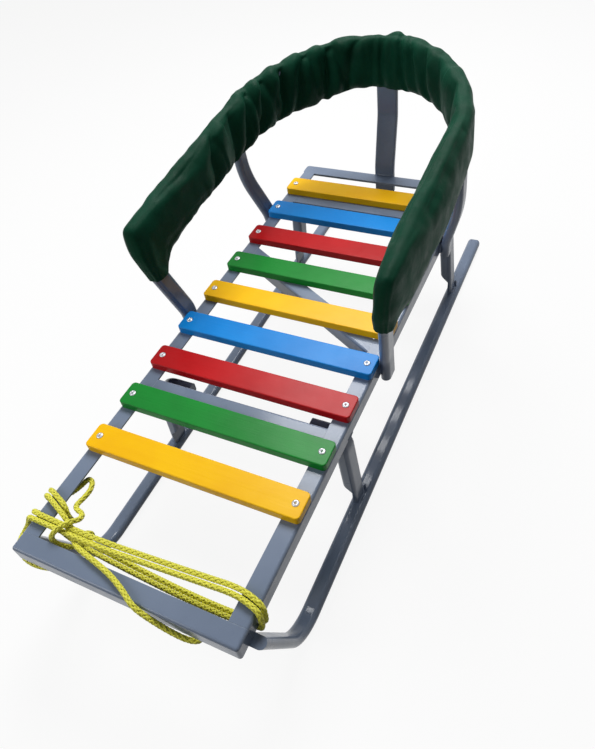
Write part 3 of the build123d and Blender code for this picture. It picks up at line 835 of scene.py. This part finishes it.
def fold_relief(place, at, angle, fold):
    """How far one fold takes the cloth in, or its shoulders push it out."""
    centre, lean, depth, width, middle, reach = fold
    across = at - centre
    turned = (angle - middle + pi) % (2 * pi) - pi
    span = window(turned, reach)
    if abs(across) > FOLD_ALONG or span == 0.0:
        return 0.0
    inner = 0.5 - 0.5 * sin(angle)
    wobble = FOLD_WOBBLE * noise.noise(place * FOLD_WOBBLES + Vector((centre * FOLD_WOBBLE_APART, 0, 7)))
    off = abs(across - lean * turned - wobble)
    valley = math.exp(-off / width)
    shoulder = math.exp(-(((off - FOLD_SHOULDER_AT * width) / (FOLD_SHOULDER_WIDTH * width)) ** 2))
    share = FOLD_ALL_ROUND + FOLD_INSIDE * inner
    return span * depth * (FOLD_SHOULDER * shoulder - valley) * share


def sleeve_relief(place, at, angle, folds):
    """How far the cloth stands out from its smooth shape."""
    relief = 0.0
    for fold in folds:
        relief += fold_relief(place, at, angle, fold)
    gathered = window(at, DRAWN_REACH)
    lumps = noise.noise(place * LUMPS_PER_METRE) * LUMPS
    small_lumps = noise.noise(place * SMALL_LUMPS_PER_METRE + Vector((3, 1, 5))) * SMALL_LUMPS
    drawn_at = Vector((at * DRAWN_PER_METRE, angle * DRAWN_PER_RADIAN, 2.5))
    drawn = noise.noise(drawn_at) * DRAWN_FOLDS * gathered
    long_at = Vector((at * LONG_PER_METRE, angle * LONG_PER_RADIAN, 8.5))
    long_folds = noise.noise(long_at) * LONG_FOLDS * (1 - gathered)
    knob_share = math.exp(-(((at - SLEEVE_KNOB_AT) / SLEEVE_KNOB_WIDTH) ** 4))
    knob_share *= 0.4 + 0.6 * window(angle - SLEEVE_KNOB_ANGLE, SLEEVE_KNOB_REACH)
    from_top = min(angle, 2 * pi - angle)
    least = FOLD_LEAST_TOP - FOLD_LEAST_BELOW * (1 - window(from_top, FOLD_TUBE_ANGLE))
    return max(relief + (lumps + small_lumps) + drawn + long_folds, least) + SLEEVE_KNOB * knob_share


def sleeve_ring(top, bottom, out, at, folds):
    """One loop of the cloth round the hoop."""
    middle = (top + bottom) / 2
    down = (bottom - top).normalized()
    half_depth = (bottom - top).length / 2
    hang = within(at, HANG_SPAN)
    bag = SLEEVE_BAG * within(at, BAG_SPAN)
    narrowed = smooth_step(abs(at), SKIRT_FROM, SKIRT_TO)
    full_width = SLEEVE_HALF_WIDTH + (SKIRT_HALF_WIDTH - SLEEVE_HALF_WIDTH) * narrowed
    waves = noise.noise(Vector((at * SLEEVE_WAVES, 4.2, 0.3)))
    waves += 0.5 * noise.noise(Vector((at * SLEEVE_SMALL_WAVES, 1.7, 6.1)))
    ring = []
    for j in range(SLEEVE_SIDES):
        angle = 2 * pi * j / SLEEVE_SIDES
        fall = signed_power(-cos(angle), 2 / SLEEVE_SQUARENESS)
        spread = signed_power(sin(angle), 2 / SLEEVE_SQUARENESS)
        low = max(fall, 0.0)
        sag = 1.0 + SLEEVE_SAG * low * (1.0 if spread > 0 else SLEEVE_SAG_INSIDE)
        half_width = full_width * sag
        place = middle + down * (half_depth * fall) + out * (half_width * spread)
        normal = down * (signed_power(fall, SLEEVE_SQUARENESS - 1) / half_depth)
        normal += out * (signed_power(spread, SLEEVE_SQUARENESS - 1) / half_width)
        stands_out = sleeve_relief(place, at, angle, folds) - SLEEVE_INSET
        place += normal.normalized() * stands_out + down * (SLEEVE_WAVE * waves * low**2)
        droop = hang * low**2 * max(spread, 0.0)
        place += down * (SLEEVE_HANG * droop + bag * low**2) + out * (SLEEVE_HANG_OUT * droop)
        ring.append(place)
    return ring


def ring_centre(ring):
    return sum(ring, Vector()) / len(ring)


def hem_rings(ring, end, further_in):
    """The cloth's end turned in round the tube: its edge, and the inside of the opening."""
    inward = (further_in[0] + further_in[1] - end[0] - end[1]).normalized()
    centre = ring_centre(ring)
    shapes = []
    for shrink, depth in HEM_SHAPES:
        shapes.append([centre + (place - centre) * shrink + inward * depth for place in ring])
    return shapes


def gather(at):
    """Extra cloth at a distance from the middle of the back, as a share of the hoop's length."""
    most = max(share * within(at, span) for span, share in GATHER_SPANS)
    return GATHER_LEAST + (GATHER_MOST - GATHER_LEAST) * most


def cut_pattern(stations, rings):
    """The sleeve as it was cut: a straight tube, longer than the hoop where it is gathered."""
    pattern = []
    along = 0.0
    centre = ring_centre(rings[0])
    for i, ring in enumerate(rings):
        top, bottom, out, at = stations[min(max(i - len(HEM_SHAPES), 0), len(stations) - 1)]
        before = centre
        centre = ring_centre(ring)
        along += (centre - before).length * (1 + gather(at))
        down = (bottom - top).normalized()
        for j, place in enumerate(ring):
            angle = 2 * pi * j / SLEEVE_SIDES
            round_at = (cos(angle) * GATHER_SHEAR_ROUND, sin(angle) * GATHER_SHEAR_ROUND)
            shear = GATHER_SHEAR * noise.noise(Vector((*round_at, at * GATHER_SHEAR_ALONG)))
            shear *= window(at - GATHER_SHEAR_AT, GATHER_SHEAR_REACH)
            offset = place - centre
            pattern.append(Vector((offset.dot(out), along + shear, -offset.dot(down))))
    return pattern


def run_cloth(sleeve, cut, pins):
    """Steps the simulation from the mesh towards its cut shape, and gives each vertex's place at the end."""
    cloth = sleeve.modifiers.new("cloth", "CLOTH")
    cloth.point_cache.frame_start = 1
    cloth.point_cache.frame_end = CLOTH_FRAMES
    cloth.settings.rest_shape_key = cut
    cloth.settings.vertex_group_mass = pins.name
    cloth.settings.quality = CLOTH_QUALITY
    cloth.settings.bending_stiffness = CLOTH_BENDING
    cloth.settings.use_pressure = True
    cloth.settings.uniform_pressure_force = CLOTH_PRESSURE
    cloth.settings.effector_weights.gravity = 0.0
    scene = bpy.context.scene
    for frame_number in range(1, CLOTH_FRAMES + 1):
        scene.frame_set(frame_number)
    moved = sleeve.evaluated_get(bpy.context.evaluated_depsgraph_get()).data
    places = [vertex.co.copy() for vertex in moved.vertices]
    scene.frame_set(1)
    sleeve.modifiers.remove(cloth)
    return places


def drape(sleeve, pattern, held):
    """Lets the cloth go from its smooth shape towards the size it was cut to, so that it folds."""
    start = [vertex.co.copy() for vertex in sleeve.data.vertices]
    normals = [vertex.normal.copy() for vertex in sleeve.data.vertices]
    sleeve.shape_key_add(name="on_the_hoop")
    cut = sleeve.shape_key_add(name="as_cut")
    for point, place in zip(cut.data, pattern):
        point.co = place
    pins = sleeve.vertex_groups.new(name="held")
    pins.add(held, 1.0, "REPLACE")
    places = run_cloth(sleeve, cut, pins)
    sleeve.shape_key_clear()
    sleeve.vertex_groups.remove(pins)
    for i, (vertex, place, home) in enumerate(zip(sleeve.data.vertices, places, start)):
        step = place - home
        step *= CLOTH_REACH * math.tanh(step.length / CLOTH_REACH) / max(step.length, 1e-9)
        j = i % SLEEVE_SIDES
        on_tube = window(min(j, SLEEVE_SIDES - j), CLOTH_ON_TUBE * SLEEVE_SIDES)
        least = -CLOTH_SINK * on_tube - CLOTH_REACH * (1 - on_tube)
        vertex.co = home + step + normals[i] * max(least - step.dot(normals[i]), 0.0)
    sleeve.data.update()


def sleeve_faces(ring_count):
    """Quads between the loops, and a face across the inside of each hem."""
    faces = []
    for low in range(0, (ring_count - 1) * SLEEVE_SIDES, SLEEVE_SIDES):
        high = low + SLEEVE_SIDES
        for j in range(SLEEVE_SIDES):
            k = (j + 1) % SLEEVE_SIDES
            faces.append((low + j, high + j, high + k, low + k))
    last = (ring_count - 1) * SLEEVE_SIDES
    faces.append(tuple(range(SLEEVE_SIDES)))
    faces.append(tuple(last + j for j in reversed(range(SLEEVE_SIDES))))
    return faces


def make_sleeve(material):
    """Padded cloth sleeve in one piece, from one skirt round the hoop to the other."""
    stations = sleeve_stations()
    folds = sleeve_folds()
    rings = [sleeve_ring(*station, folds) for station in stations]
    left_hem = hem_rings(rings[0], stations[0], stations[HEM_LEVEL])
    right_hem = hem_rings(rings[-1], stations[-1], stations[-1 - HEM_LEVEL])
    rings = left_hem[::-1] + rings + right_hem
    vertices = [place for ring in rings for place in ring]
    sleeve = mesh_object("sleeve_cloth", vertices, sleeve_faces(len(rings)), material)
    sides = range(SLEEVE_SIDES)
    uvs = [(i * SLEEVE_STEP, j * SLEEVE_SIDE_WIDTH) for i in range(len(rings)) for j in sides]
    add_uv(sleeve.data, uvs)
    held = [*range(HEM_POINTS), *range(len(vertices) - HEM_POINTS, len(vertices))]
    drape(sleeve, cut_pattern(stations, rings), held)
    finer = sleeve.modifiers.new("finer", "SUBSURF")
    finer.levels = 1
    finer.render_levels = 1
    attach(sleeve, "root")
    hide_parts("left_sleeve_arm", "left_sleeve_back", "right_sleeve_arm", "right_sleeve_back")


# --- screws ---
def cross_radius(angle):
    """Outline of a cross recess: distance from its middle at an angle."""
    turned = (angle + pi / 4) % (pi / 2) - pi / 4
    along = cos(turned)
    across = abs(sin(turned))
    if across * SCREW_CROSS <= SCREW_CROSS_HALF_WIDTH * along:
        return SCREW_CROSS / along
    return SCREW_CROSS_HALF_WIDTH / across


def screw_head(centre):
    """Pan head with a cross recess, as points in rings and the faces between them."""
    angles = [2 * pi * j / SCREW_SIDES for j in range(SCREW_SIDES)]
    cross = [min(cross_radius(angle), SCREW_CROSS * SCREW_CROSS_CORNER) for angle in angles]
    shapes = [([radius] * SCREW_SIDES, height) for radius, height in SCREW_PROFILE]
    shapes.append((cross, SCREW_PROFILE[-1][1]))
    shapes.append(([radius * SCREW_RECESS_TAPER for radius in cross], SCREW_RECESS_FLOOR))
    vertices = []
    for radii, height in shapes:
        for angle, radius in zip(angles, radii):
            vertices.append(centre + Vector((radius * cos(angle), radius * sin(angle), height)))
    return vertices, tube_faces(0, len(shapes), SCREW_SIDES)


def join_parts(parts):
    """Several lists of vertices and faces as one."""
    vertices, faces = [], []
    for part_vertices, part_faces in parts:
        first = len(vertices)
        vertices.extend(part_vertices)
        faces.extend(tuple(first + index for index in face) for face in part_faces)
    return vertices, faces


def slat_rows():
    """Middle of each slat along the sled, and the height of the slats' tops."""
    low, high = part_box("yellow_slats")
    half = SLAT_WIDTH / 2
    pitch = (high.y - low.y - SLAT_WIDTH) / (SLAT_COUNT - 1)
    return [low.y + half + pitch * i for i in range(SLAT_COUNT)], high.z


def make_screws(material):
    """Two screws in each slat, as one mesh."""
    rows, top = slat_rows()
    parts = [screw_head(Vector((side * SCREW_X, y, top))) for y in rows for side in (-1, 1)]
    screws = mesh_object("slat_screws", *join_parts(parts), material)
    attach(screws, "root")


# --- weld beads ---
def bead(points, seed):
    """Lumpy bead along a line of points, with the ripples of a hand-laid weld."""
    frames = carried_frames(resample([Vector(p) for p in points], WELD_STEP))
    vertices = []
    for i, (point, side, up) in enumerate(frames):
        at = i * WELD_STEP
        taper = end_taper(i, len(frames), WELD_END_LEAST, WELD_END_RINGS)
        ripple = WELD_RIPPLE * abs(sin(pi * at / WELD_RIPPLE_LENGTH))
        lumps = WELD_LUMPS * noise.noise(Vector((at * WELD_LUMPS_PER_METRE, seed, 0.5)))
        for j in range(WELD_SIDES):
            angle = 2 * pi * j / WELD_SIDES
            out = side * cos(angle) + up * sin(angle)
            vertices.append(point + out * WELD_RADIUS * (1 + ripple + lumps) * taper)
    return vertices, tube_faces(0, len(frames), WELD_SIDES)


def hoop_foot_welds(side):
    """Upright beads along both edges of the upright's foot and of the strut's, outside the rail."""
    low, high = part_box("right_side_rail")
    x = side * (high.x + 0.0008)
    lines = []
    for foot_y in (HOOP_FOOT_Y, STRUT_FOOT_Y):
        for y in (foot_y - FOOT_HALF_WIDTH, foot_y + FOOT_HALF_WIDTH):
            lines.append([(x, y, low.z + 0.001), (x, y, high.z - 0.005)])
    return lines


def leg_welds(side, leg):
    """A leg's beads: along the rail's lower edge, and along and behind its foot on the runner."""
    rail_low, rail_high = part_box("right_side_rail")
    low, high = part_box(leg)
    rail_x = side * (rail_high.x - 0.001)
    foot_x = side * (max(abs(low.x), abs(high.x)) + 0.0004)
    behind = high.y + 0.0004
    return [
        [(rail_x, low.y + 0.005, rail_low.z), (rail_x, high.y - 0.005, rail_low.z)],
        [(foot_x, low.y + 0.003, RUNNER_TOP), (foot_x, high.y - 0.003, RUNNER_TOP)],
        [(foot_x - side * 0.007, behind, RUNNER_TOP),
         (foot_x, behind, RUNNER_TOP),
         (foot_x - side * 0.0005, behind, RUNNER_TOP + WELD_LEG_UP)],
    ]


def post_weld():
    """Bead across the post's foot, on the rear cross bar."""
    _, bar_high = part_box("rear_cross_bar")
    post_low, post_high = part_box("back_post")
    y = bar_high.y + 0.0005
    z = bar_high.z + 0.0004
    return [(post_low.x + 0.004, y, z), (post_high.x - 0.004, y, z)]


def make_welds(material):
    """All the weld beads, as one mesh."""
    lines = []
    for side, name in ((-1, "left"), (1, "right")):
        lines.extend(hoop_foot_welds(side))
        lines.extend(leg_welds(side, name + "_front_leg"))
        lines.extend(leg_welds(side, name + "_rear_leg"))
    lines.append(post_weld())
    parts = [bead(line, seed) for seed, line in enumerate(lines)]
    welds = mesh_object("weld_beads", *join_parts(parts), material)
    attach(welds, "root")


make_camera()
make_world()
make_lamp("key", KEY_PLACE, KEY_SIZE, KEY_POWER)
make_lamp("fill", FILL_PLACE, FILL_SIZE, FILL_POWER)
make_floor()
bpy.context.scene.view_settings.view_transform = "Standard"

paint = frame_enamel()
slat_paints = {}
for colour_name, colours in SLAT_COLOURS.items():
    slat_paints[colour_name + "_slats"] = slat_paint(colour_name + "_gloss", *colours)
for name, node in nodes.items():
    if "sleeve" in name or name == "tow_rope":
        continue
    finish = slat_paints.get(name, paint)
    for slot in node.material_slots:
        slot.material = finish

make_rope(rope_fibre())
make_sleeve(sleeve_cloth())
make_screws(screw_steel())
make_welds(paint)
